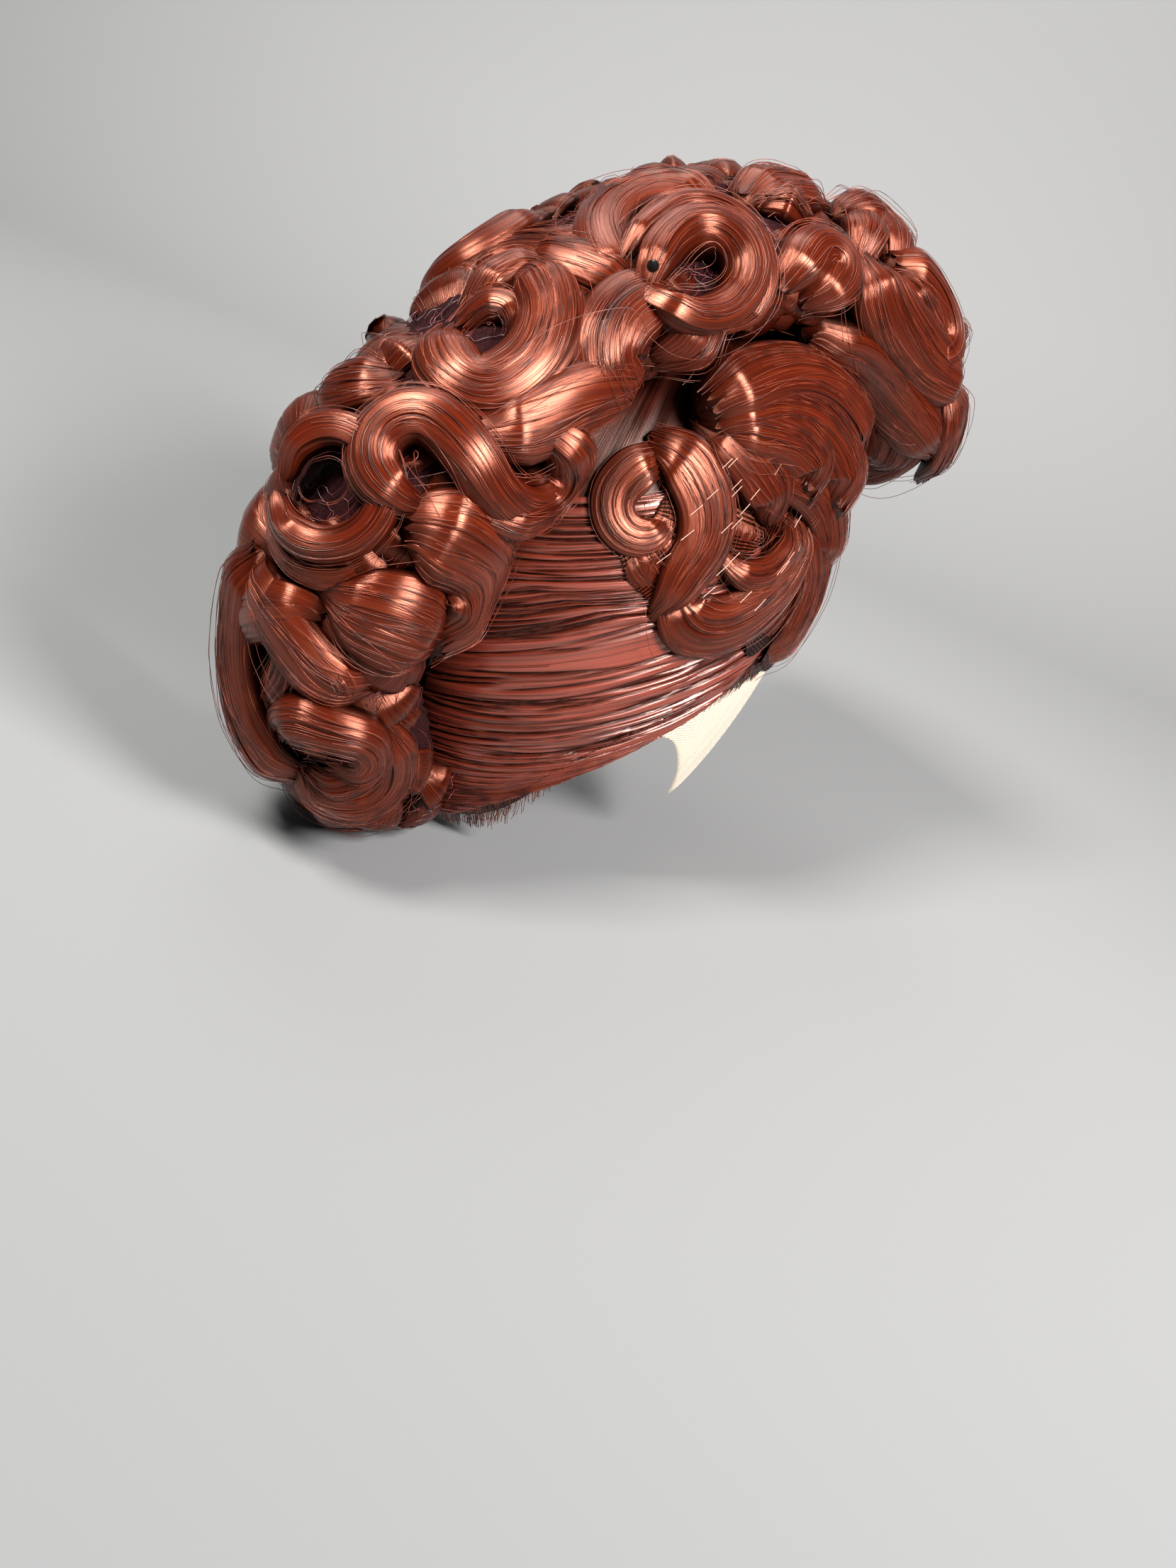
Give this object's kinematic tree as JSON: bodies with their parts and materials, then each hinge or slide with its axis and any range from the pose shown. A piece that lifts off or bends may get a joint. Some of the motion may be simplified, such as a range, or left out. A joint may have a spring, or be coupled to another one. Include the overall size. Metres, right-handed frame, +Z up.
{
  "type": "updo wig",
  "caption": "Hollow wig cap with combed side panels and a lace front, under a padded crest of pinned ring curls, rolls and waves.",
  "frame": {"origin": "inside apex of the cap, where the crown of a head meets it", "axes": "+Z up out of the crown, the face towards -Y, the nape towards +Y, the wearer's right ear towards -X"},
  "size_m": [0.1796, 0.2891, 0.2685],
  "materials": {
    "hair": "combed auburn synthetic hair, soft sheen",
    "padding_net": "dark burgundy crimped hair and net",
    "cap_net": "matt knotted cap net",
    "lace": "sheer cream lace",
    "pin": "glossy black"
  },
  "bodies": {
    "root": {"cap": "cap_net", "lace_front": "lace", "side_panel_right": "hair", "side_panel_left": "hair", "padding": "padding_net", "hairpin": "pin", "curl_nape_hollow": "hair", "curl_left_low": "hair", "curl_left_mid": "hair", "curl_left_high": "hair", "curl_nape_long": "hair", "curl_nape_low": "hair", "curl_nape_outer": "hair", "curl_nape_middle": "hair", "curl_nape_rosette": "hair", "curl_nape_diagonal": "hair", "curl_back_smooth": "hair", "curl_back_wide": "hair", "curl_back_side": "hair", "curl_back_ess": "hair", "curl_back_rise": "hair", "curl_back_top": "hair", "curl_crown_side": "hair", "curl_back_slip": "hair", "curl_back_swirl": "hair", "curl_crown_left": "hair", "curl_crown_drop": "hair", "curl_crown_ring": "hair", "curl_top_low": "hair", "curl_top_high": "hair", "curl_top_end": "hair", "curl_front_far_low": "hair", "curl_front_far": "hair", "curl_front_ring": "hair", "curl_front_low": "hair", "curl_front_inner": "hair", "curl_front_main": "hair", "curl_front_upper": "hair", "curl_front_end": "hair", "curl_front_arc": "hair", "curl_top_loop": "hair", "curl_front_long": "hair", "wave_right_hook": "hair", "wave_right_arch": "hair", "wave_right_fan": "hair", "wave_right_front": "hair", "curl_back_ring": "hair", "curl_nape_outer_left": "hair", "curl_back_smooth_left": "hair", "curl_back_wide_left": "hair", "curl_back_side_left": "hair", "curl_crown_side_left": "hair", "curl_front_main_left": "hair", "curl_front_low_left": "hair", "curl_front_arc_left": "hair", "wave_left_arch": "hair", "wave_left_fan": "hair", "wave_left_front": "hair"}
  },
  "joints": []
}
